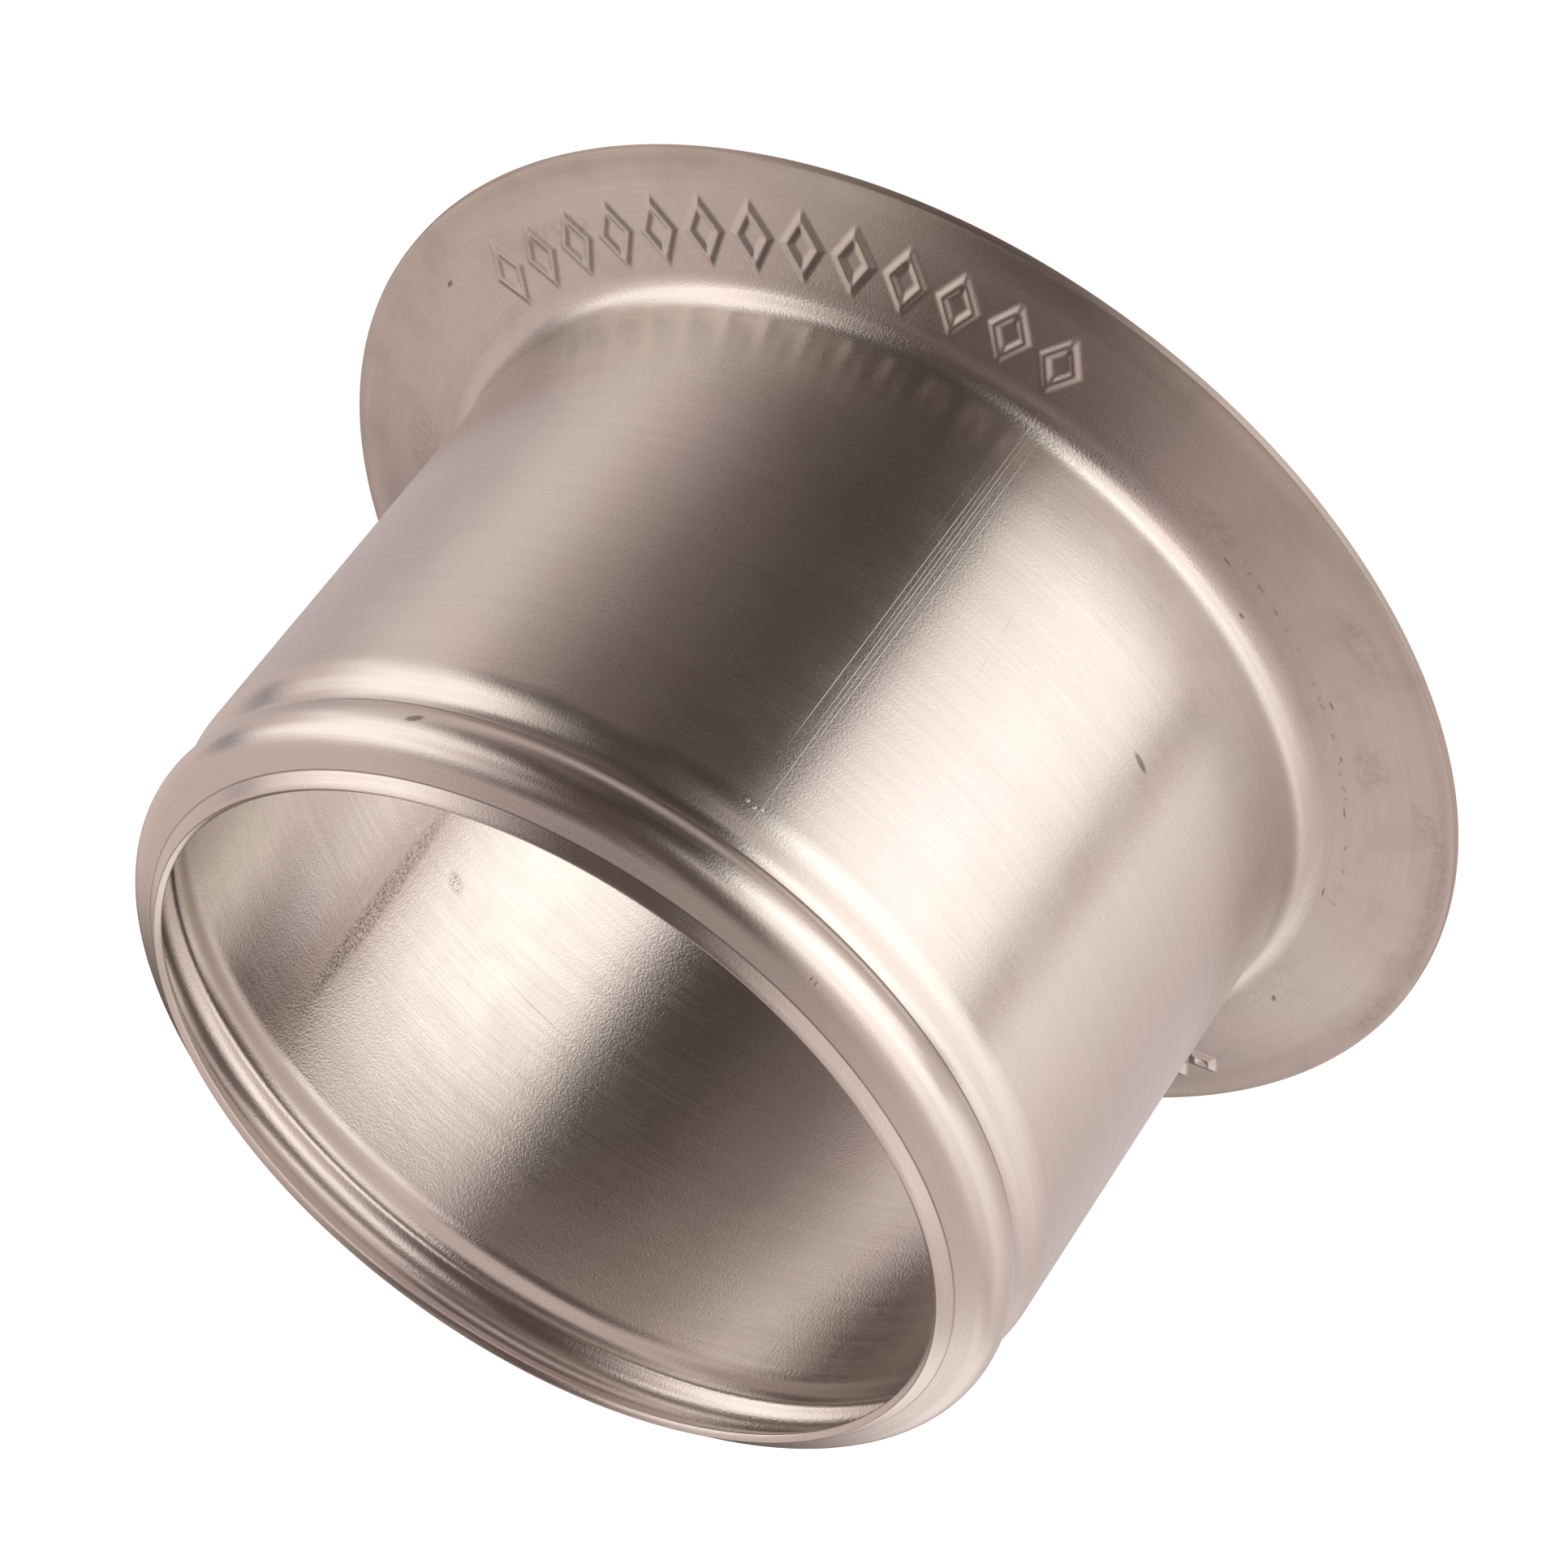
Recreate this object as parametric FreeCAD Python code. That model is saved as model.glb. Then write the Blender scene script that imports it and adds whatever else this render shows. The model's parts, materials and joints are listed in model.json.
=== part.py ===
import FreeCAD, Part
import math
import os

# Sink flange of a kitchen garbage disposal: one sheet of stainless steel, drawn to a wide dished flange and a
# straight sleeve, then rolled to a snap-ring groove, a bead and a turned-in mouth.
# It stands on its flange: the origin is the centre of the rim's back face, and +Z runs along the axis to the
# mouth, which is the way the sleeve goes down through a sink. Millimetres and degrees.

# The sheet and the flange
SHEET = 0.8
FLANGE_RADIUS = 57.15
RIM_BAND = 2.4
RIM_BEND = 3.0
DISH_ANGLE = 13.0

# The sleeve
SLEEVE_RADIUS = 43.4
ROOT_BEND = 3.0

# The neck between the sleeve and the snap-ring groove, measured on the outside
NECK_START = 53.0
NECK_START_BEND = 5.0
NECK_END = 55.4
NECK_END_BEND = 2.4
GROOVE_RADIUS = 42.3
GROOVE_HEIGHT = 56.1
GROOVE_BEND = 0.25

# The bead, a round arc, and the mouth, measured on the outside
BEAD_RADIUS = 43.3
BEAD_HEIGHT = 58.5
BEAD_BEND = 3.3
LIP_START = (39.9, 62.2)
LIP_BEND = 0.15
MOUTH = (38.85, 63.41)

# Stamped lozenges: azimuths are counted about +Z from +X
STAMP_HEIGHT = 0.24
STAMP_LINE = 0.95
LONG_BAND = {"count": 13, "first": -87.1, "step": 5.85, "radius": 49.4, "length": 6.8, "width": 4.2}
SHORT_BAND = {"count": 6, "first": 155.0, "step": -4.2, "radius": 52.3, "length": 3.6, "width": 3.0}

AXIS = FreeCAD.Vector(0, 0, 1)
ORIGIN = FreeCAD.Vector(0, 0, 0)


def dish_height(radius):
    """Height of the dished flange's sink-side skin."""
    return SHEET + (FLANGE_RADIUS - RIM_BAND - radius) * math.tan(math.radians(DISH_ANGLE))


def touching(point, side):
    """Angle, about the bead's centre, where a line from this point touches the bead."""
    away = (point[0] - BEAD_RADIUS + BEAD_BEND, point[1] - BEAD_HEIGHT)
    return math.atan2(away[1], away[0]) + side * math.acos(BEAD_BEND / math.hypot(away[0], away[1]))


def bead_corner():
    """Where the lines that touch the bead from the groove and from the lip would meet."""
    low = touching((GROOVE_RADIUS, GROOVE_HEIGHT), 1)
    high = touching(LIP_START, -1)
    reach = BEAD_BEND / math.cos((high - low) / 2)
    middle = (high + low) / 2
    return (BEAD_RADIUS - BEAD_BEND + reach * math.cos(middle), BEAD_HEIGHT + reach * math.sin(middle))


def skin_corners():
    """Corners of the skin that faces the sink, rim to mouth: (radius, height, bend radius)."""
    bead = bead_corner()
    return [
        (FLANGE_RADIUS, SHEET, 0),
        (FLANGE_RADIUS - RIM_BAND, SHEET, RIM_BEND),
        (SLEEVE_RADIUS, dish_height(SLEEVE_RADIUS), ROOT_BEND),
        (SLEEVE_RADIUS, NECK_START, NECK_START_BEND),
        (GROOVE_RADIUS, NECK_END, NECK_END_BEND),
        (GROOVE_RADIUS, GROOVE_HEIGHT, GROOVE_BEND),
        (bead[0], bead[1], BEAD_BEND),
        (LIP_START[0], LIP_START[1], LIP_BEND),
        (MOUTH[0], MOUTH[1], 0),
    ]


def direction(start, end):
    length = math.hypot(end[0] - start[0], end[1] - start[1])
    return ((end[0] - start[0]) / length, (end[1] - start[1]) / length)


def ways(corners, i):
    """The directions into and out of corner i; at an end of the skin they are the same."""
    into = direction(corners[max(i - 1, 0)], corners[max(i, 1)])
    out = direction(corners[min(i, len(corners) - 2)], corners[min(i + 1, len(corners) - 1)])
    return into, out


def turn(into, out):
    """Signed turn in radians, positive towards the back skin."""
    return math.atan2(into[0] * out[1] - into[1] * out[0], into[0] * out[0] + into[1] * out[1])


def back_corners(corners):
    """The same corners on the back skin, one sheet thickness away."""
    back = []
    for i, (radius, height, bend) in enumerate(corners):
        into, out = ways(corners, i)
        reach = SHEET / (1 + into[0] * out[0] + into[1] * out[1])
        back_bend = bend - math.copysign(SHEET, turn(into, out)) if bend else 0
        back.append((radius - reach * (into[1] + out[1]), height + reach * (into[0] + out[0]), back_bend))
    return back


def point(radius, height):
    return FreeCAD.Vector(radius, 0, height)


def bend_points(corners, i):
    """Start, middle and end of the round bend at corner i."""
    radius, height, bend = corners[i]
    into, out = ways(corners, i)
    angle = abs(turn(into, out))
    back = bend * math.tan(angle / 2)
    bulge = bend / math.cos(angle / 2) - bend
    middle = direction((0, 0), (out[0] - into[0], out[1] - into[1]))
    return (
        point(radius - back * into[0], height - back * into[1]),
        point(radius + bulge * middle[0], height + bulge * middle[1]),
        point(radius + back * out[0], height + back * out[1]),
    )


def skin_edges(corners):
    """Straight walls joined by tangent arcs."""
    edges = []
    here = point(corners[0][0], corners[0][1])
    for i in range(1, len(corners) - 1):
        start, middle, end = bend_points(corners, i)
        edges.append(Part.LineSegment(here, start).toShape())
        edges.append(Part.Arc(start, middle, end).toShape())
        here = end
    edges.append(Part.LineSegment(here, point(corners[-1][0], corners[-1][1])).toShape())
    return edges


def drawn_sheet():
    """The plain sheet: its section between the two skins, turned about the axis."""
    front = skin_corners()
    back = back_corners(front)
    front_edges = skin_edges(front)
    back_edges = skin_edges(back)
    rim_cut = Part.LineSegment(point(*front[0][:2]), point(*back[0][:2])).toShape()
    mouth_cut = Part.LineSegment(point(*front[-1][:2]), point(*back[-1][:2])).toShape()
    outline = Part.Wire(Part.__sortEdges__(front_edges + [mouth_cut] + back_edges + [rim_cut]))
    return Part.Face(outline).revolve(ORIGIN, AXIS, 360)


def lozenge(length, width, radius, azimuth):
    """A tall lozenge prism that crosses the flange, with its long diagonal along the radius."""
    corners = [(radius + length / 2, 0), (radius, width / 2), (radius - length / 2, 0), (radius, -width / 2)]
    outline = Part.makePolygon([FreeCAD.Vector(x, y, 0) for x, y in corners + corners[:1]])
    prism = Part.Face(outline).extrude(AXIS * (dish_height(0) + STAMP_HEIGHT))
    prism.rotate(ORIGIN, AXIS, azimuth)
    return prism


def lozenge_frames(band, line):
    """The band's lozenges as open frames with lines this wide."""
    frames = []
    slope = math.hypot(band["length"], band["width"])
    inset_length = line * slope / band["width"]
    inset_width = line * slope / band["length"]
    spare = STAMP_LINE - line
    grow_length = -spare * slope / band["width"]
    grow_width = -spare * slope / band["length"]
    for i in range(band["count"]):
        azimuth = band["first"] + i * band["step"]
        outer = lozenge(band["length"] + grow_length, band["width"] + grow_width, band["radius"], azimuth)
        inner = lozenge(
            band["length"] + grow_length - 2 * inset_length,
            band["width"] + grow_width - 2 * inset_width,
            band["radius"],
            azimuth,
        )
        frames.append(outer.cut(inner))
    return Part.makeCompound(frames)


def dish_layer(band, low, high):
    """The layer between two heights above the sink-side skin, over the band's radii."""
    inside = band["radius"] - band["length"] / 2 - STAMP_LINE
    outside = band["radius"] + band["length"] / 2 + STAMP_LINE
    corners = [
        point(inside, dish_height(inside) + low),
        point(outside, dish_height(outside) + low),
        point(outside, dish_height(outside) + high),
        point(inside, dish_height(inside) + high),
    ]
    return Part.Face(Part.makePolygon(corners + corners[:1])).revolve(ORIGIN, AXIS, 360)


def stamped(sheet, band):
    """The sheet with the band pressed through it: raised on the sink side, sunk by as much on the back."""
    back_skin = -SHEET / math.cos(math.radians(DISH_ANGLE))
    raised = dish_layer(band, -SHEET / 4, STAMP_HEIGHT).common(lozenge_frames(band, STAMP_LINE))
    sunk = dish_layer(band, back_skin - SHEET, back_skin + STAMP_HEIGHT).common(lozenge_frames(band, STAMP_LINE / 2))
    return sheet.fuse(raised).cut(sunk)


def sink_flange():
    sheet = drawn_sheet()
    for band in (LONG_BAND, SHORT_BAND):
        sheet = stamped(sheet, band)
    return sheet.removeSplitter()


def main():
    os.makedirs("parts", exist_ok=True)
    shape = sink_flange()
    print("solids", len(shape.Solids), "valid", shape.isValid(), "volume", round(shape.Volume, 1))
    print("box", shape.BoundBox)
    shape.exportStep("parts/sink_flange.step")


main()
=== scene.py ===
import bmesh
import bpy
import json
import math
from mathutils import Matrix, Vector, noise


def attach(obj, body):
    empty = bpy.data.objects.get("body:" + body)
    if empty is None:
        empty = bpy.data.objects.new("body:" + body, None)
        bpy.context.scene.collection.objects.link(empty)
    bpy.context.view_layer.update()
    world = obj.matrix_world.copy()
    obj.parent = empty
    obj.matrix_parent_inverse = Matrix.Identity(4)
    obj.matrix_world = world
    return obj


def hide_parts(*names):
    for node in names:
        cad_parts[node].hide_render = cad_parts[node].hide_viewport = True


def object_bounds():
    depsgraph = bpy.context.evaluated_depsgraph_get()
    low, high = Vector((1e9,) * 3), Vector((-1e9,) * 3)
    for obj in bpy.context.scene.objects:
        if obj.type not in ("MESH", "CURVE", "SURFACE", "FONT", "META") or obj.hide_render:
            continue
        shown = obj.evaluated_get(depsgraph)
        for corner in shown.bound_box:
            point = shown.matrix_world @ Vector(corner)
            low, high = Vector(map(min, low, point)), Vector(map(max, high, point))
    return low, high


# Sink flange of a kitchen garbage disposal, drawn from one sheet of stainless steel.
# Shapes are in millimetres and degrees, and are scaled to metres when the mesh is written.

MM = 0.001

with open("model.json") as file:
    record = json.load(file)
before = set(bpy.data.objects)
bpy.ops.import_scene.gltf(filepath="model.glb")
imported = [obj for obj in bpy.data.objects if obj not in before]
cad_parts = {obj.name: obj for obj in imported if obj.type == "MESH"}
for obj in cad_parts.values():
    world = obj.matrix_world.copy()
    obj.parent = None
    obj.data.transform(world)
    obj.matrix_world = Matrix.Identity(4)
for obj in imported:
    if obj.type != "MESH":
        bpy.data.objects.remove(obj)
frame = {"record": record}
cad_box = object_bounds()

# ------------------------------------------------------------------ driving dimensions
# From the frame: the outer sizes, the sleeve and the sheet between its two mounts
MOUNTS = {mount["name"]: mount["dims"] for mount in frame["record"]["mounts"]}
FLANGE_RADIUS = round(cad_box[1][0] / MM, 2)
MOUTH_HEIGHT = round(cad_box[1][2] / MM, 2)
SLEEVE_RADIUS = MOUNTS["sleeve_outside"]["r_mm"]
SHEET = round(SLEEVE_RADIUS - MOUNTS["sleeve_inside"]["r_mm"], 2)

# The flange
RIM_BAND = 2.4
RIM_BEND = 9.0
DISH_ANGLE = 13.0
ROOT_BEND = 3.0

# The neck and the snap-ring groove, measured on the outside
NECK_START = 53.0
NECK_START_BEND = 5.0
NECK_END = 55.4
NECK_END_BEND = 2.4
GROOVE_RADIUS = 42.3
GROOVE_HEIGHT = 56.1
GROOVE_BEND = 0.25

# The bead, a round arc, and the mouth, measured on the outside
BEAD_RADIUS = 43.3
BEAD_HEIGHT = 58.5
BEAD_BEND = 3.3
LIP_START = (39.9, 62.2)
LIP_BEND = 0.15
MOUTH_RADIUS = 38.85

# Broken corners of the cut edges at the rim and the mouth
CUT_ROUND = 0.14
CUT_STEPS = 3

# Stamped lozenges: azimuths are counted about +Z from +X
STAMP_HEIGHT = 0.24
STAMP_LINE = 0.95
BANDS = [
    {"count": 13, "first": -87.1, "step": 5.85, "radius": 49.4, "length": 6.8, "width": 4.2},
    {"count": 6, "first": 155.0, "step": -4.2, "radius": 52.3, "length": 3.6, "width": 3.0},
]
# A stroke's soft shoulder, in half widths, and the width of a stroke on the back skin
STROKE_SHOULDER = 1.35
BACK_STROKE = 0.62

# The mesh: the longest step along each straight run, rim to mouth, the angle of a step in a bend, the gap
# between the two points at each end of a run, the columns round the axis and the cuts under the stamps
RUN_STEPS = [0.8, 0.8, 2.4, 0.6, 0.6, 0.6, 0.8, 0.5]
BEND_STEP = 6.5
SUPPORT = 0.12
COLUMNS = 270
FINE_CUTS = 4
FINE_MARGIN = 0.45
RELIEF_MARGIN = 0.4

# Where the flange is a plain cone: its radii, and a height that is over all of it
CONE_INSIDE = 44.5
CONE_OUTSIDE = 55.0
CONE_TOP = 5.0

# Most that the drawn sheet strays: the rim inwards, the rim upwards, the wall inwards
RIM_WANDER = 0.10
RIM_LIFT = 0.10
WALL_RIPPLE = 0.012


def smooth(t):
    t = min(max(t, 0.0), 1.0)
    return t * t * (3 - 2 * t)


# ------------------------------------------------------------------ section of the sheet
def dish_height(radius):
    """Height of the dished flange's sink-side skin."""
    return SHEET + (FLANGE_RADIUS - RIM_BAND - radius) * math.tan(math.radians(DISH_ANGLE))


def touching(point, side):
    """Angle, about the bead's centre, where a line from this point touches the bead."""
    away = (point[0] - BEAD_RADIUS + BEAD_BEND, point[1] - BEAD_HEIGHT)
    return math.atan2(away[1], away[0]) + side * math.acos(BEAD_BEND / math.hypot(away[0], away[1]))


def bead_corner():
    """Where the lines that touch the bead from the groove and from the lip would meet."""
    low = touching((GROOVE_RADIUS, GROOVE_HEIGHT), 1)
    high = touching(LIP_START, -1)
    reach = BEAD_BEND / math.cos((high - low) / 2)
    middle = (high + low) / 2
    return (BEAD_RADIUS - BEAD_BEND + reach * math.cos(middle), BEAD_HEIGHT + reach * math.sin(middle))


def skin_corners():
    """Corners of the sink-side skin, rim to mouth: (radius, height, bend radius)."""
    return [
        (FLANGE_RADIUS, SHEET, 0.0),
        (FLANGE_RADIUS - RIM_BAND, SHEET, RIM_BEND),
        (SLEEVE_RADIUS, dish_height(SLEEVE_RADIUS), ROOT_BEND),
        (SLEEVE_RADIUS, NECK_START, NECK_START_BEND),
        (GROOVE_RADIUS, NECK_END, NECK_END_BEND),
        (GROOVE_RADIUS, GROOVE_HEIGHT, GROOVE_BEND),
        (*bead_corner(), BEAD_BEND),
        (*LIP_START, LIP_BEND),
        (MOUTH_RADIUS, MOUTH_HEIGHT, 0.0),
    ]


def unit(a, b):
    length = math.hypot(b[0] - a[0], b[1] - a[1])
    return ((b[0] - a[0]) / length, (b[1] - a[1]) / length)


def straight(start, end, step):
    """Points of a straight run, close together at its ends so that its shading stays flat."""
    length = math.hypot(end[0] - start[0], end[1] - start[1])
    way = unit(start, end)
    margin = min(SUPPORT, length / 4)
    count = max(1, math.ceil((length - 2 * margin) / step))
    places = [0.0] + [margin + (length - 2 * margin) * i / count for i in range(count + 1)] + [length]
    return [(start[0] + way[0] * s, start[1] + way[1] * s, way[1], -way[0]) for s in places]


def bend(corner, into, out):
    """Points of the round bend at a corner."""
    radius, height, size = corner
    turn = math.atan2(into[0] * out[1] - into[1] * out[0], into[0] * out[0] + into[1] * out[1])
    back = size * math.tan(abs(turn) / 2)
    start = (radius - back * into[0], height - back * into[1])
    side = math.copysign(1, turn)
    centre = (start[0] - side * size * into[1], start[1] + side * size * into[0])
    count = max(2, math.ceil(math.degrees(abs(turn)) / BEND_STEP))
    points = []
    for i in range(count + 1):
        angle = turn * i / count
        way = (
            into[0] * math.cos(angle) - into[1] * math.sin(angle),
            into[0] * math.sin(angle) + into[1] * math.cos(angle),
        )
        normal = (way[1], -way[0])
        points.append((centre[0] + side * size * normal[0], centre[1] + side * size * normal[1], *normal))
    return points


def skin_points():
    """The sink-side skin from the rim to the mouth: (radius, height, and the normal towards the sink)."""
    corners = skin_corners()
    ways = [unit(corners[i], corners[i + 1]) for i in range(len(corners) - 1)]
    points = []
    here = corners[0][:2]
    for i in range(1, len(corners) - 1):
        arc = bend(corners[i], ways[i - 1], ways[i])
        points += straight(here, arc[0][:2], RUN_STEPS[i - 1])[:-1] + arc[:-1]
        here = arc[-1][:2]
    return points + straight(here, corners[-1][:2], RUN_STEPS[-1])


def trimmed(points, from_start):
    """Leaves room for the broken corner at one end of the skin."""
    points = points if from_start else points[::-1]
    way = unit(points[0], points[2])
    first = points[0]
    moved = (first[0] + CUT_ROUND * way[0], first[1] + CUT_ROUND * way[1], first[2], first[3])
    kept = [p for p in points[1:] if math.hypot(p[0] - first[0], p[1] - first[1]) > 1.5 * CUT_ROUND]
    points = [moved] + kept
    return points if from_start else points[::-1]


def broken_edge(end, outward):
    """The cut edge at one end of the skin: a small round, the flat cut, and a second small round."""
    r, h, nr, nh = end
    first_round = []
    second_round = []
    for i in range(1, CUT_STEPS + 1):
        angle = math.radians(90 * i / CUT_STEPS)
        ahead, down = CUT_ROUND * math.sin(angle), CUT_ROUND * (1 - math.cos(angle))
        first_round.append((ahead, down))
        second_round.append((ahead, SHEET - down))
    return [
        (r + ahead * outward[0] - down * nr, h + ahead * outward[1] - down * nh, 0.5)
        for ahead, down in first_round + second_round[::-1]
    ]


def section():
    """The closed section: (radius, height, back) with back running from 0 on the sink-side skin to 1."""
    front = trimmed(trimmed(skin_points(), from_start=True), from_start=False)
    rows = [(r, h, 0.0) for r, h, nr, nh in front]
    back = [(r - SHEET * nr, h - SHEET * nh, 1.0) for r, h, nr, nh in front]
    mouth = broken_edge(front[-1], unit(front[-2], front[-1]))
    rim = broken_edge(front[0], unit(front[1], front[0]))
    return rows + mouth + back[::-1] + rim[::-1]


# ------------------------------------------------------------------ stamped relief
def stroke(band, radius, azimuth, line_width):
    """How far up its rounded stroke a point of the dish is, 0 to 1."""
    nearest = min(max(round((azimuth - band["first"]) / band["step"]), 0), band["count"] - 1)
    turn = math.radians(azimuth - band["first"] - nearest * band["step"])
    along = abs(radius * math.cos(turn) - band["radius"])
    across = abs(radius * math.sin(turn))
    half_length = band["length"] / 2
    half_width = band["width"] / 2
    slope = math.hypot(half_length, half_width)
    inside = (half_length * half_width - along * half_width - across * half_length) / slope
    off = abs(inside - STAMP_LINE / 2) / (line_width / 2)
    return smooth((STROKE_SHOULDER - off) / STROKE_SHOULDER)


def in_band(band, radius, azimuth, margin):
    last = band["first"] + (band["count"] - 1) * band["step"]
    low, high = sorted((band["first"], last))
    spread = math.degrees((band["width"] / 2 + margin) / band["radius"])
    reach = band["length"] / 2 + margin
    return low - spread < azimuth < high + spread and abs(radius - band["radius"]) < reach


def relief(radius, azimuth, back):
    """How far the stamps push a point of either skin towards the sink side."""
    line_width = STAMP_LINE * (BACK_STROKE if back > 0.5 else 1.0)
    for band in BANDS:
        if in_band(band, radius, azimuth, RELIEF_MARGIN):
            return STAMP_HEIGHT * stroke(band, radius, azimuth, line_width)
    return 0.0


def on_cone(radius, height):
    return height < CONE_TOP and CONE_INSIDE < radius < CONE_OUTSIDE


def unevenness(azimuth, radius, height):
    """The drawn sheet's small strays: radius change, never outwards, and height change, never down."""
    turn = math.radians(azimuth)
    place = Vector((math.cos(turn), math.sin(turn), 0))
    rim = smooth((radius - 47) / 9)
    wander = RIM_WANDER * rim * (0.5 + 0.5 * noise.noise(place * 1.9 + Vector((0, 0, 4.2))))
    lift = RIM_LIFT * rim * (0.5 + 0.5 * noise.noise(place * 1.6 + Vector((3.1, 0, 0))))
    wall = smooth((height - 6) / 8)
    ripple = WALL_RIPPLE * wall * noise.noise(place * 5 + Vector((0, 0, height / 14)))
    return -wander - abs(ripple), lift


# ------------------------------------------------------------------ mesh of the sheet
def column_azimuth(column):
    return -180 + column * 360 / COLUMNS


def unrolled_grid(rows):
    """The sheet laid out flat: x counts the columns, y the rows of the section, finer under the stamps."""
    count = len(rows)
    grid = bmesh.new()
    verts = [[grid.verts.new((c, row, 0)) for c in range(COLUMNS + 1)] for row in range(count + 1)]
    fine = []
    for i in range(count):
        radius = (rows[i][0] + rows[(i + 1) % count][0]) / 2
        for c in range(COLUMNS):
            face = grid.faces.new((verts[i][c], verts[i][c + 1], verts[i + 1][c + 1], verts[i + 1][c]))
            azimuth = column_azimuth(c + 0.5)
            stamped = any(in_band(band, radius, azimuth, FINE_MARGIN) for band in BANDS)
            if stamped and on_cone(radius, rows[i][1]):
                fine.append(face)
    edges = list(dict.fromkeys(edge for face in fine for edge in face.edges))
    bmesh.ops.subdivide_edges(grid, edges=edges, cuts=FINE_CUTS, use_grid_fill=True)
    return grid


def roll_up(grid, rows):
    """Turns the flat grid round the axis, with stamps and unevenness, and notes each point's skin."""
    lean = math.radians(DISH_ANGLE)
    skin = grid.verts.layers.float.new("back")
    for vert in grid.verts:
        azimuth = column_azimuth(vert.co.x)
        low = int(math.floor(vert.co.y + 1e-6))
        part = vert.co.y - low
        first, second = rows[low % len(rows)], rows[(low + 1) % len(rows)]
        radius, height, back = (a + (b - a) * part for a, b in zip(first, second))
        push = 0.0
        if back in (0.0, 1.0) and on_cone(radius, height):
            push = relief(radius, azimuth, back)
        more_radius, more_height = unevenness(azimuth, radius, height)
        radius += more_radius + push * math.sin(lean)
        height += more_height + push * math.cos(lean)
        turn = math.radians(azimuth)
        vert.co = Vector((radius * math.cos(turn), radius * math.sin(turn), height)) * MM
        vert[skin] = back


def sheet_mesh(name):
    rows = section()
    grid = unrolled_grid(rows)
    roll_up(grid, rows)
    bmesh.ops.remove_doubles(grid, verts=grid.verts, dist=1e-6)
    bmesh.ops.recalc_face_normals(grid, faces=grid.faces)
    for face in grid.faces:
        face.smooth = True
    mesh = bpy.data.meshes.new(name)
    grid.to_mesh(mesh)
    grid.free()
    return mesh


# ------------------------------------------------------------------ node helpers
class Nodes:
    """Writes a node tree as formulas."""

    def __init__(self, tree):
        self.tree = tree
        tree.nodes.clear()

    def add(self, kind, **settings):
        node = self.tree.nodes.new(kind)
        for key, value in settings.items():
            setattr(node, key, value)
        return node

    def feed(self, socket, value):
        if isinstance(value, bpy.types.NodeSocket):
            self.tree.links.new(value, socket)
        else:
            socket.default_value = value

    def math(self, operation, *values):
        node = self.add("ShaderNodeMath", operation=operation)
        for socket, value in zip(node.inputs, values):
            self.feed(socket, value)
        return node.outputs[0]

    def times(self, first, *others):
        """The product of all the values."""
        for other in others:
            first = self.math("MULTIPLY", first, other)
        return first

    def plus(self, first, *others):
        """The sum of all the values."""
        for other in others:
            first = self.math("ADD", first, other)
        return first

    def ramp(self, value, low, high, to_low=0.0, to_high=1.0):
        """Goes smoothly from to_low at low to to_high at high."""
        node = self.add("ShaderNodeMapRange", interpolation_type="SMOOTHSTEP")
        for socket, entry in zip(node.inputs, (value, low, high, to_low, to_high)):
            self.feed(socket, entry)
        return node.outputs[0]

    def mix(self, factor, first, second):
        node = self.add("ShaderNodeMix", data_type="RGBA")
        self.feed(node.inputs["Factor"], factor)
        colours = [s for s in node.inputs if s.type == "RGBA"]
        self.feed(colours[0], first)
        self.feed(colours[1], second)
        return [s for s in node.outputs if s.type == "RGBA"][0]

    def combine(self, x, y, z):
        node = self.add("ShaderNodeCombineXYZ")
        for socket, value in zip(node.inputs, (x, y, z)):
            self.feed(socket, value)
        return node.outputs[0]

    def split(self, vector):
        node = self.add("ShaderNodeSeparateXYZ")
        self.feed(node.inputs[0], vector)
        return node.outputs

    def azimuth(self, x, y):
        """Degrees round the axis: 0 at -Y, and more towards +X."""
        return self.math("DEGREES", self.math("ARCTAN2", x, self.times(y, -1.0)))

    def noise(self, vector, scale, detail=2.0, roughness=0.5):
        node = self.add("ShaderNodeTexNoise")
        self.feed(node.inputs["Vector"], vector)
        self.feed(node.inputs["Scale"], scale)
        self.feed(node.inputs["Detail"], detail)
        self.feed(node.inputs["Roughness"], roughness)
        return node.outputs[0]

    def bump(self, height, strength, distance, normal=None):
        node = self.add("ShaderNodeBump")
        self.feed(node.inputs["Height"], height)
        self.feed(node.inputs["Strength"], strength)
        self.feed(node.inputs["Distance"], distance)
        if normal is not None:
            self.feed(node.inputs["Normal"], normal)
        return node.outputs[0]


def colour(r, g, b):
    return (r, g, b, 1.0)


# ------------------------------------------------------------------ steel
STEEL = colour(0.645, 0.595, 0.57)
CLOUDED_STEEL = colour(0.625, 0.590, 0.545)
# What the steel darkens towards in its brushing, in broad bands, where it is worn, and so on; the crease
# colour and the dent colour are painted shade
BRUSHED_SHADE = colour(0.45, 0.42, 0.39)
BAND_SHADE = colour(0.50, 0.45, 0.44)
WORN_SHADE = colour(0.44, 0.40, 0.36)
# Painted shade: the dark line drawn along the creases at groove and lip
CREASE_PAINTED_SHADE = colour(0.17, 0.14, 0.13)
STAIN_SHADE = colour(0.36, 0.28, 0.21)
SHEARED_SHADE = colour(0.34, 0.27, 0.23)
SMUDGE_SHADE = colour(0.22, 0.19, 0.17)
# Painted shade of the dents; it also colours the die line's real specks
PAINTED_DENT_SHADE_AND_DIE_SPECKS = colour(0.16, 0.14, 0.13)

OUTSIDE_ROUGHNESS = 0.24
INSIDE_ROUGHNESS = 0.20
FLANGE_ROUGHNESS = 0.34
BRUSHING_STRETCH = 0.7

BRUSHING_DEPTH = 0.008 * MM
HAIR_DEPTH = 0.004 * MM
GRAIN_DEPTH = 0.026 * MM
SCRATCH_DEPTH = 0.030 * MM

# Millimetres of arc in a degree, at a radius of 45 mm
ARC = math.radians(45)

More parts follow.
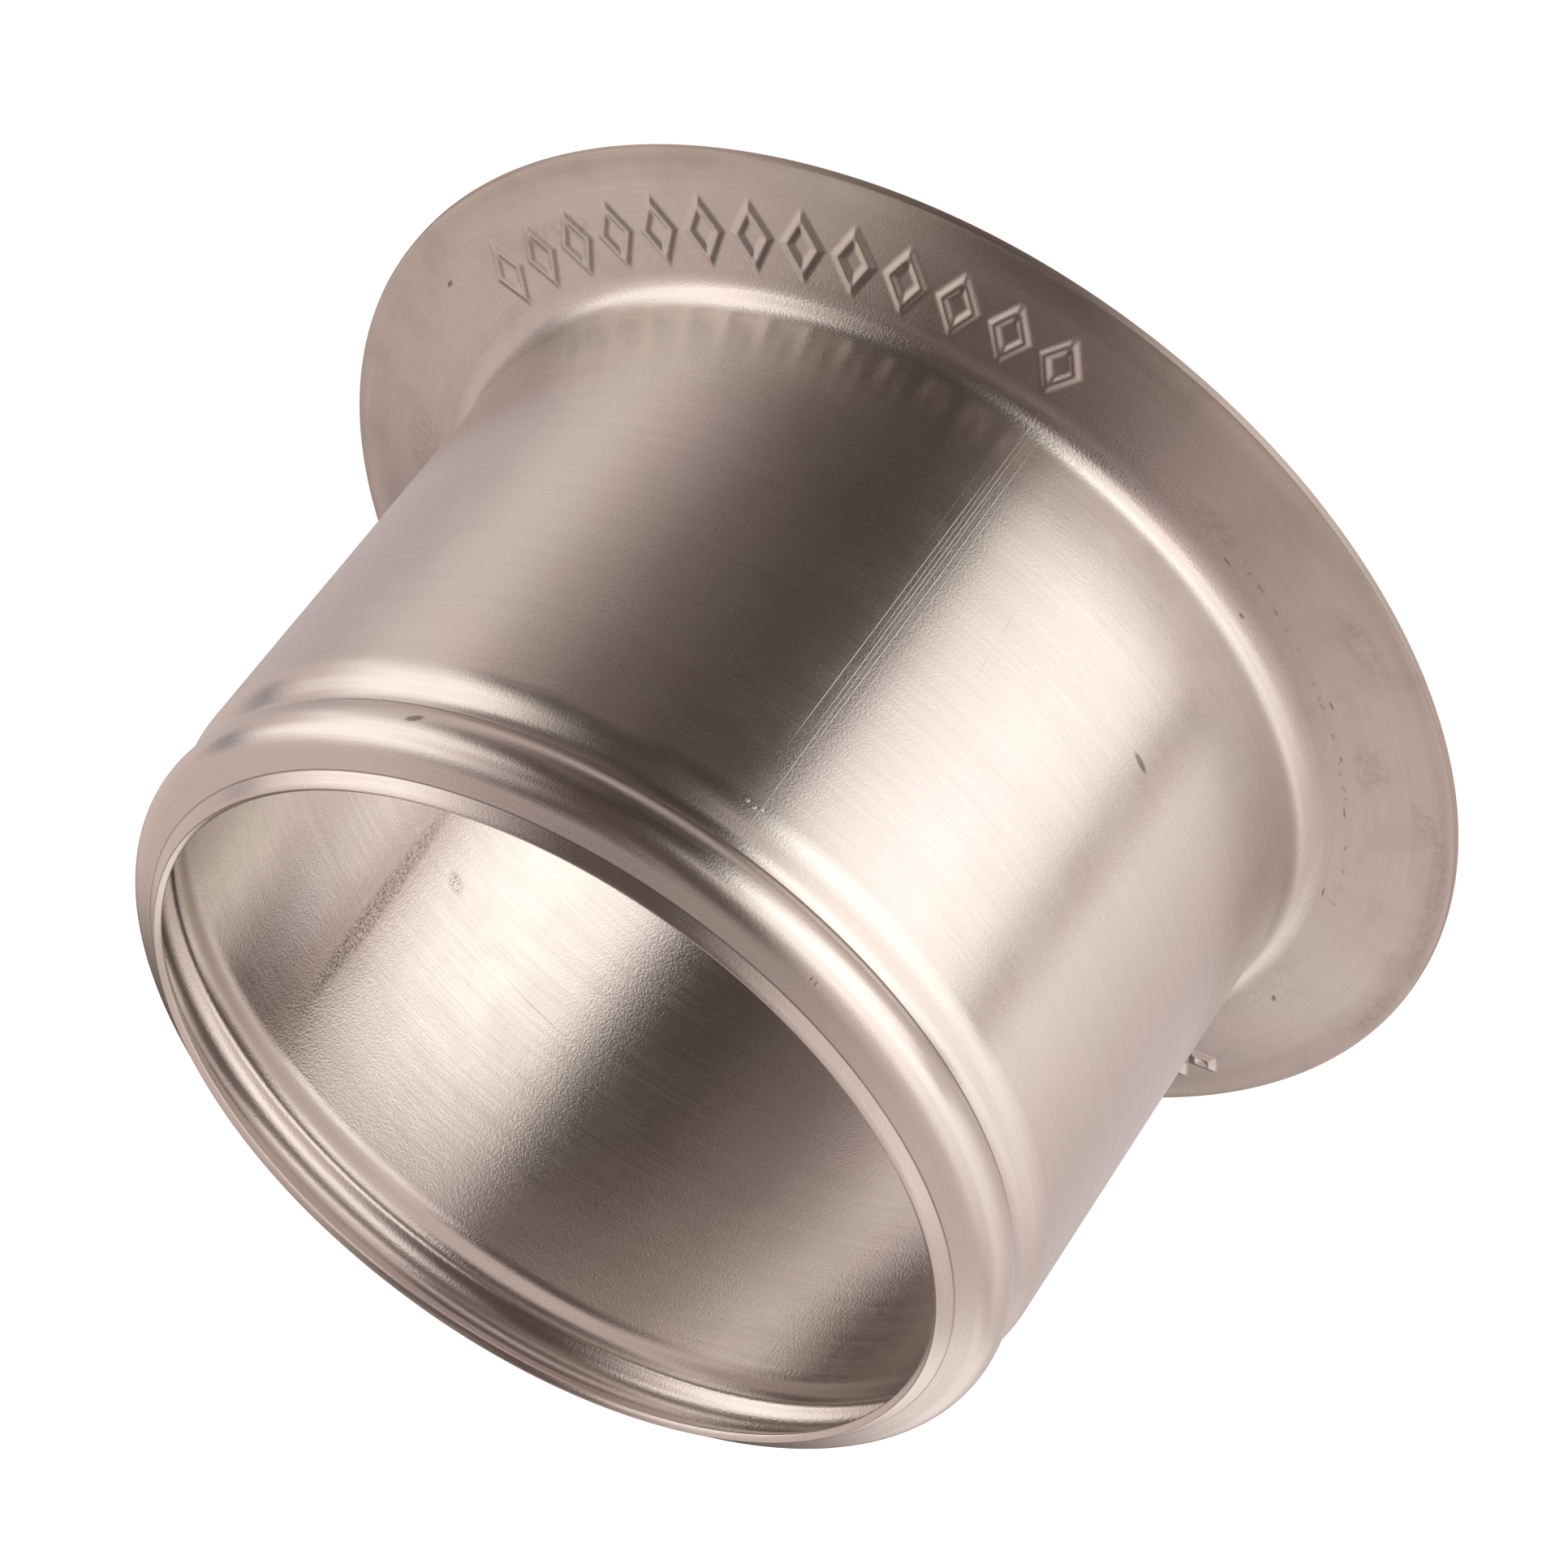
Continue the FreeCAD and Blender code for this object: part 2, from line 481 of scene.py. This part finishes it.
# Small marks: azimuth (0 at -Y, towards +X), place along the section (height less radius), half length
# and half width in mm, and the angle of the length from the circle round the axis.
DEEP_SCRATCHES = [
    (-0.6, -17.0, 13.5, 0.045, 90.4), (0.3, -19.0, 19.5, 0.060, 89.8), (0.9, -11.0, 20.0, 0.040, 90.2),
    (1.4, -20.0, 17.0, 0.055, 90.0), (1.9, -26.0, 13.0, 0.040, 90.3), (2.5, -15.0, 15.0, 0.050, 89.7),
    (0.8, 8.9, 0.22, 0.14, 0), (1.6, 9.2, 0.26, 0.14, 30), (2.6, 9.0, 0.24, 0.15, 0),
]
SCRATCHES = [
    (3.6, -29.0, 9.0, 0.035, 90.1), (11.8, -24.1, 0.55, 0.09, 62), (77.6, 18.7, 0.8, 0.10, 10),
    (-82.6, -55.7, 1.1, 0.09, 35), (-82.4, -53.3, 0.9, 0.08, 40), (33.4, -45.0, 0.35, 0.15, 20),
    (62.0, -21.0, 5.0, 0.05, 12), (-9.0, -21.1, 1.6, 0.05, 100), (-9.4, -16.3, 1.2, 0.05, 95),
]
INSIDE_SCRATCHES = [
    (147.0, -11.5, 6.0, 0.05, 91), (170.0, -14.0, 5.0, 0.05, 4), (-164.0, -6.0, 7.0, 0.04, -3),
]
# Dents and nicks, given no shape and only darkened in the colour: painted shade
PAINTED_SHADE_DENTS = [
    (-15.2, 18.6, 0.36, 0.08, 95), (-14.5, 18.6, 0.36, 0.08, 95),
    (-31.6, -22.0, 1.15, 0.32, -7), (39.4, 15.2, 0.9, 0.35, 20), (82.6, -50.8, 0.45, 0.26, 10),
    (-96.7, -46.0, 0.55, 0.24, 40), (-30.6, -41.2, 0.35, 0.20, 0), (-24.0, -43.6, 0.6, 0.10, 0),
    (-44.5, -45.9, 0.5, 0.12, 5), (-60.0, -44.7, 0.7, 0.09, 0), (-74.0, -43.4, 0.6, 0.10, 3),
    (-52.0, -45.2, 0.35, 0.10, 0),
]
STAINS = [
    (-70.0, -54.9, 9.0, 0.9, 0), (-90.0, -55.1, 5.0, 0.7, 0), (-60.0, -53.2, 2.2, 1.2, 30),
    (-13.0, 24.3, 5.2, 0.30, 0), (-20.0, -45.4, 3.2, 1.5, 5), (-38.0, -51.9, 3.8, 1.7, 10),
    (-53.5, -48.2, 3.0, 2.0, 0), (64.0, -49.0, 4.5, 1.6, 0), (108.0, -47.0, 5.0, 2.2, 0),
]
INSIDE_STAINS = [
    (145.2, -8.5, 13.5, 1.15, 88), (152.0, -17.3, 1.2, 0.8, 20),
]
# Lines round the sheet, by their place along the section: the die's, and the creases at groove and lip, along
# which a dark line of painted shade is drawn
DIE_LINE = -44.9
GROOVE_CREASE = 13.80
LIP_CREASE = 22.27


def marks(n, arc_run, entries):
    """How much of any of the marks covers a point, 0 to 1."""
    covered = 0.0
    for at, along, half_length, half_width, angle in entries:
        local = n.add("ShaderNodeMapping", vector_type="TEXTURE")
        n.feed(local.inputs["Vector"], arc_run)
        local.inputs["Location"].default_value = (at * ARC, along, 0.0)
        local.inputs["Rotation"].default_value = (0.0, 0.0, math.radians(angle))
        local.inputs["Scale"].default_value = (half_length, half_width, 1.0)
        length = n.add("ShaderNodeVectorMath", operation="LENGTH")
        n.feed(length.inputs[0], local.outputs[0])
        covered = n.plus(covered, n.ramp(length.outputs["Value"], 1.25, 0.6))
    return n.math("MINIMUM", covered, 1.0)


def line(n, run, at, half_width):
    """A thin line round the sheet at this place along its section."""
    off = n.math("ABSOLUTE", n.math("SUBTRACT", run, at))
    return n.ramp(off, half_width * 1.5, half_width * 0.5)


def steel_places(n):
    """Where a point is, in millimetres and degrees, and how much it is on each part of the sheet."""
    scaled = n.add("ShaderNodeVectorMath", operation="SCALE")
    n.feed(scaled.inputs[0], n.add("ShaderNodeTexCoord").outputs["Object"])
    scaled.inputs["Scale"].default_value = 1 / MM
    x, y, z = n.split(scaled.outputs[0])
    radius = n.math("SQRT", n.plus(n.times(x, x), n.times(y, y)))
    azimuth = n.azimuth(x, y)
    run = n.math("SUBTRACT", z, radius)
    side = n.add("ShaderNodeAttribute", attribute_name="back").outputs["Fac"]
    cut_edge = n.times(n.ramp(side, 0.15, 0.40), n.ramp(side, 0.85, 0.60))
    return {
        "point": scaled.outputs[0],
        "round": (n.math("DIVIDE", x, radius), n.math("DIVIDE", y, radius)),
        "azimuth": azimuth,
        "run": run,
        "arc_run": n.combine(n.times(azimuth, ARC), run, 0.0),
        "flange": n.times(n.ramp(radius, 43.9, 45.6), n.ramp(z, 8.0, 6.0)),
        "outside": n.ramp(side, 0.45, 0.05),
        "inside": n.ramp(side, 0.55, 0.95),
        "sheared_rim": n.times(cut_edge, n.ramp(radius, 50.0, 55.0)),
    }


def steel_patterns(n, at):
    """Noises: three brushed round the axis, from fine to broad, and four without a direction."""
    round_x, round_y = at["round"]

    def streaks(round_scale, run_scale, detail, roughness):
        place = n.combine(n.times(round_x, round_scale), n.times(round_y, round_scale),
                          n.times(at["run"], run_scale))
        return n.noise(place, 1.0, detail, roughness)

    return {
        "fine": streaks(2.4, 4.5, 2.0, 0.6),
        "hair": streaks(5.5, 8.0, 1.0, 0.5),
        "bands": streaks(1.1, 0.8, 2.0, 0.5),
        "grain": n.noise(at["point"], 4.5, 2.0, 0.6),
        "cloud": n.noise(at["point"], 0.055, 2.0, 0.5),
        "wear": n.noise(at["point"], 0.16, 3.0, 0.6),
        "mottle": n.noise(at["point"], 1.3, 2.0, 0.7),
    }


def steel_marks(n, at, pattern):
    """How much each kind of mark covers a point."""
    outside, inside, arc_run = at["outside"], at["inside"], at["arc_run"]
    deep = n.times(marks(n, arc_run, DEEP_SCRATCHES), outside)
    light = n.times(marks(n, arc_run, SCRATCHES), outside)
    inner = n.times(marks(n, arc_run, INSIDE_SCRATCHES), inside)
    die_line = n.times(
        line(n, at["run"], DIE_LINE, 0.22),
        n.ramp(pattern["mottle"], 0.54, 0.62),
        n.ramp(at["azimuth"], -84.0, -76.0),
        n.ramp(at["azimuth"], -18.0, -28.0),
        outside,
        0.5,
    )
    # Painted shade along the creases at groove and lip
    crease_shade_lines = n.plus(line(n, at["run"], LIP_CREASE, 0.10), line(n, at["run"], GROOVE_CREASE, 0.06))
    return {
        "deep": deep,
        "scratch": n.plus(deep, light, inner),
        # Painted shade in the dents, together with the die line's real specks
        "dent_shade_and_die_specks": n.math("MAXIMUM", n.times(marks(n, arc_run, PAINTED_SHADE_DENTS), outside), die_line),
        "stain": n.times(marks(n, arc_run, STAINS), outside, n.ramp(pattern["mottle"], 0.30, 0.75)),
        "smudge": n.times(marks(n, arc_run, INSIDE_STAINS), inside, n.ramp(pattern["grain"], 0.36, 0.66)),
        "crease_painted_shade": n.times(outside, crease_shade_lines),
    }


def steel_colour(n, at, pattern, mark):
    brushing = n.ramp(pattern["fine"], 0.3, 0.7)
    worn = n.times(n.ramp(pattern["wear"], 0.46, 0.70), at["flange"])
    # Painted shade: the creases at groove and lip darkened in the colour
    crease_painted_shade = n.times(mark["crease_painted_shade"], n.ramp(pattern["fine"], 0.3, 0.7, 0.5, 0.8))
    base = n.mix(n.ramp(pattern["cloud"], 0.38, 0.62), STEEL, CLOUDED_STEEL)
    base = n.mix(n.times(brushing, 0.09), base, BRUSHED_SHADE)
    base = n.mix(n.times(n.ramp(pattern["hair"], 0.3, 0.7), 0.08), base, BRUSHED_SHADE)
    base = n.mix(n.times(n.ramp(pattern["bands"], 0.35, 0.65), 0.10), base, BAND_SHADE)
    base = n.mix(n.times(worn, 0.24), base, WORN_SHADE)
    base = n.mix(crease_painted_shade, base, CREASE_PAINTED_SHADE)
    base = n.mix(n.times(mark["stain"], 0.36), base, STAIN_SHADE)
    base = n.mix(n.times(at["sheared_rim"], 0.62), base, SHEARED_SHADE)
    base = n.mix(n.times(mark["smudge"], 0.80), base, SMUDGE_SHADE)
    # Painted shade: the dents darkened, and the die line's specks with them
    return n.mix(n.times(mark["dent_shade_and_die_specks"], 0.75), base, PAINTED_DENT_SHADE_AND_DIE_SPECKS)


def steel_roughness(n, at, pattern, mark):
    wall = n.ramp(at["inside"], 0.0, 1.0, OUTSIDE_ROUGHNESS, INSIDE_ROUGHNESS)
    return n.plus(
        n.ramp(at["flange"], 0.0, 1.0, wall, FLANGE_ROUGHNESS),
        n.ramp(pattern["fine"], 0.3, 0.7, -0.02, 0.03),
        n.ramp(pattern["wear"], 0.35, 0.65, -0.01, 0.03),
        n.times(mark["scratch"], 0.16),
        n.times(at["sheared_rim"], 0.15),
    )


def steel_normal(n, at, pattern, mark):
    """Brushing, a grain that is coarser where the metal was stretched at the root, and deep scratches."""
    stretched = n.times(n.ramp(at["run"], -47.0, -44.5), n.ramp(at["run"], -35.0, -41.0))
    grain = n.math("MAXIMUM", n.ramp(stretched, 0.0, 1.0, 0.45, 1.0), n.times(at["inside"], 0.85))
    normal = n.bump(pattern["fine"], 0.25, BRUSHING_DEPTH)
    normal = n.bump(pattern["hair"], 0.25, HAIR_DEPTH, normal)
    normal = n.bump(pattern["grain"], grain, GRAIN_DEPTH, normal)
    return n.bump(mark["deep"], 0.5, SCRATCH_DEPTH, normal)


def steel_material():
    material = bpy.data.materials.new("drawn_stainless_steel")
    material.use_nodes = True
    n = Nodes(material.node_tree)
    at = steel_places(n)
    pattern = steel_patterns(n, at)
    mark = steel_marks(n, at, pattern)
    shader = n.add("ShaderNodeBsdfPrincipled")
    shader.inputs["Metallic"].default_value = 1.0
    shader.inputs["Anisotropic"].default_value = BRUSHING_STRETCH
    shader.inputs["Anisotropic Rotation"].default_value = 0.25
    n.feed(shader.inputs["Base Color"], steel_colour(n, at, pattern, mark))
    n.feed(shader.inputs["Roughness"], steel_roughness(n, at, pattern, mark))
    n.feed(shader.inputs["Normal"], steel_normal(n, at, pattern, mark))
    tangent = n.add("ShaderNodeTangent", direction_type="RADIAL", axis="Z")
    n.feed(shader.inputs["Tangent"], tangent.outputs[0])
    output = n.add("ShaderNodeOutputMaterial")
    n.feed(output.inputs[0], shader.outputs[0])
    return material


# ------------------------------------------------------------------ studio
# Tints of the light: the boxes', what the room sends back, and what is left in the gaps between boxes
COOL = (1.0, 0.975, 0.935)
WARM = (1.0, 0.925, 0.875)
ROSE = (1.0, 0.83, 0.78)
PALE = (1.0, 0.88, 0.88)
BROWN = (1.0, 0.74, 0.68)
SLATE = (1.0, 1.02, 1.15)


def lit(level, tint):
    return colour(*(level * part for part in tint))


AMBIENT = lit(0.81, ROSE)
# Azimuth 0 is towards the camera's side (-Y) and runs towards +X; elevation is up from the floor.
# Each panel covers the ones before it: middle azimuth and half width, elevations, softness of its left,
# right, lower and upper edges, all in degrees, the lean of its sides in degrees per degree up, and its light.
PANELS = {
    "ceiling_right": {"az": 74, "half": 39, "el": (45, 102), "soft": (20, 28, 21, 10), "lean": 0.35,
                      "light": lit(0.12, BROWN)},
    "ceiling_left": {"az": -130, "half": 106, "el": (64, 102), "soft": (21, 18, 24, 10), "lean": -0.2,
                     "light": lit(0.49, ROSE)},
    "left_box": {"az": -31, "half": 38.5, "el": (-47, 6.5), "soft": (144, 9, 6, 7), "lean": -0.5,
                 "light": lit(2.34, COOL)},
    "left_skirt": {"az": -22.5, "half": 10, "el": (-80, -26.5), "soft": (44, 11, 12, 44), "lean": 0.6,
                   "light": lit(0.98, ROSE)},
    "left_strip": {"az": -37.5, "half": 50, "el": (12, 33), "soft": (75, 12, 7, 4), "lean": -0.25,
                   "light": lit(1.86, WARM)},
    "gap": {"az": 25, "half": 32.5, "el": (-28.5, 83.5), "soft": (43, 9, 10, 17), "lean": -0.77,
            "light": lit(0.12, BROWN)},
    "gap_core": {"az": 17.5, "half": 20, "el": (-34, 8), "soft": (13, 26, 5, 9), "lean": 0.05,
                 "light": lit(0.08, BROWN)},
    "gap_foot": {"az": 29.5, "half": 34, "el": (-57.5, -29.5), "soft": (13, 38, 6, 16), "lean": 0.35,
                 "light": lit(0.10, BROWN)},
    "right_box": {"az": 92, "half": 17, "el": (-1.5, 47), "soft": (14, 27, 12, 32), "lean": -0.47,
                  "light": lit(1.76, WARM)},
    "right_skirt": {"az": 77, "half": 16.5, "el": (-23, 19), "soft": (21, 19, 48, 18), "lean": -0.7,
                    "light": lit(1.75, WARM)},
    "box_seam": {"az": 123.5, "half": 4.5, "el": (-16.5, 11.5), "soft": (4, 4, 10, 9), "lean": -0.2,
                 "light": lit(0.26, SLATE)},
    "far_low": {"az": 152, "half": 39.5, "el": (-59, -29), "soft": (20, 20, 16, 14), "lean": -0.6,
                "light": lit(0.63, PALE)},
    "left_line": {"az": -73.5, "half": 8, "el": (-51, -24.5), "soft": (4, 4, 8, 5), "lean": 0.83,
                  "light": lit(0.99, ROSE)},
    "back_low": {"az": -152, "half": 25, "el": (-54.5, -21.5), "soft": (20, 19, 16, 16), "lean": -0.05,
                 "light": lit(0.78, PALE)},
    "left_seam": {"az": -69.8, "half": 1.3, "el": (-50, -18), "soft": (2, 2, 8, 8), "lean": 0,
                  "light": lit(0.05, BROWN)},
    "back_gap": {"az": 180, "half": 17, "el": (-30, 30), "soft": (12, 16, 12, 12), "lean": 0,
                 "light": lit(0.13, ROSE)},
    "back_box": {"az": -146, "half": 12, "el": (-12, 28), "soft": (14, 12, 12, 14), "lean": 0.1,
                 "light": lit(1.30, WARM)},
}


def panel_mask(n, azimuth, elevation, panel):
    """How much of this panel a direction sees, 0 to 1."""
    low, high = panel["el"]
    left, right, bottom, top = panel["soft"]
    half = panel["half"]
    shift = n.times(n.math("SUBTRACT", elevation, (low + high) / 2), panel["lean"])
    off = n.math("SUBTRACT", n.math("SUBTRACT", azimuth, panel["az"]), shift)
    off = n.math("WRAP", off, 180.0, -180.0)
    return n.times(
        n.ramp(off, -half - left / 2, -half + left / 2),
        n.ramp(off, half + right / 2, half - right / 2),
        n.ramp(elevation, low - bottom / 2, low + bottom / 2),
        n.ramp(elevation, high + top / 2, high - top / 2),
    )


def studio_world():
    world = bpy.data.worlds.new("soft_studio")
    bpy.context.scene.world = world
    world.use_nodes = True
    n = Nodes(world.node_tree)
    x, y, z = n.split(n.add("ShaderNodeTexCoord").outputs["Generated"])
    azimuth = n.azimuth(x, y)
    elevation = n.math("DEGREES", n.math("ARCSINE", z))
    light = AMBIENT
    for panel in PANELS.values():
        light = n.mix(panel_mask(n, azimuth, elevation, panel), light, panel["light"])
    studio = n.add("ShaderNodeBackground")
    n.feed(studio.inputs[0], light)
    backdrop = n.add("ShaderNodeBackground")
    backdrop.inputs[0].default_value = colour(1.0, 1.0, 1.0)
    choose = n.add("ShaderNodeMixShader")
    n.feed(choose.inputs[0], n.add("ShaderNodeLightPath").outputs["Is Camera Ray"])
    n.feed(choose.inputs[1], studio.outputs[0])
    n.feed(choose.inputs[2], backdrop.outputs[0])
    output = n.add("ShaderNodeOutputWorld")
    n.feed(output.inputs[0], choose.outputs[0])


FLOOR_RADIUS = 3.5
FLOOR_GLOW = 0.75


def floor_material():
    material = bpy.data.materials.new("pale_floor")
    material.use_nodes = True
    n = Nodes(material.node_tree)
    shader = n.add("ShaderNodeBsdfPrincipled")
    shader.inputs["Base Color"].default_value = colour(0.80, 0.80, 0.80)
    shader.inputs["Roughness"].default_value = 0.9
    shader.inputs["Specular IOR Level"].default_value = 0.0
    shader.inputs["Emission Color"].default_value = colour(1.0, 1.0, 1.0)
    shader.inputs["Emission Strength"].default_value = FLOOR_GLOW
    output = n.add("ShaderNodeOutputMaterial")
    n.feed(output.inputs[0], shader.outputs[0])
    return material


def studio_floor():
    mesh = bpy.data.meshes.new("studio_floor")
    disc = bmesh.new()
    bmesh.ops.create_circle(disc, cap_ends=True, segments=96, radius=FLOOR_RADIUS)
    disc.to_mesh(mesh)
    disc.free()
    mesh.materials.append(floor_material())
    floor = bpy.data.objects.new("studio_floor", mesh)
    bpy.context.scene.collection.objects.link(floor)
    floor.visible_glossy = False


# ------------------------------------------------------------------ camera
# Metres, degrees, and the lens and the sensor in millimetres
CAMERA_AIM = (0.00036, 0.0, 0.01938)
CAMERA_DISTANCE = 0.4776
CAMERA_AZIMUTH = -0.05
CAMERA_ELEVATION = 34.37
CAMERA_ROLL = 143.62
CAMERA_LENS = 121.8
CAMERA_SENSOR = 36.0


def add_camera():
    azimuth, elevation, roll = (math.radians(a) for a in (CAMERA_AZIMUTH, CAMERA_ELEVATION, CAMERA_ROLL))
    back = Vector((math.sin(azimuth) * math.cos(elevation), -math.cos(azimuth) * math.cos(elevation),
                   math.sin(elevation)))
    level_right = Vector((0, 0, 1)).cross(back).normalized()
    level_up = back.cross(level_right)
    up = level_up * math.cos(roll) + level_right * math.sin(roll)
    right = up.cross(back)
    turned = Matrix((right, up, back)).transposed().to_4x4()
    data = bpy.data.cameras.new("camera")
    data.lens = CAMERA_LENS
    data.sensor_width = CAMERA_SENSOR
    data.clip_start = 0.01
    camera = bpy.data.objects.new("camera", data)
    camera.matrix_world = Matrix.Translation(Vector(CAMERA_AIM) + back * CAMERA_DISTANCE) @ turned
    bpy.context.scene.collection.objects.link(camera)
    bpy.context.scene.camera = camera


# ------------------------------------------------------------------ the piece
def add_flange():
    mesh = sheet_mesh("drawn_flange")
    mesh.materials.append(steel_material())
    piece = bpy.data.objects.new("drawn_flange", mesh)
    bpy.context.scene.collection.objects.link(piece)
    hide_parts("sink_flange")
    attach(piece, "root")


add_camera()
studio_world()
studio_floor()
add_flange()
bpy.context.scene.view_settings.view_transform = "Standard"
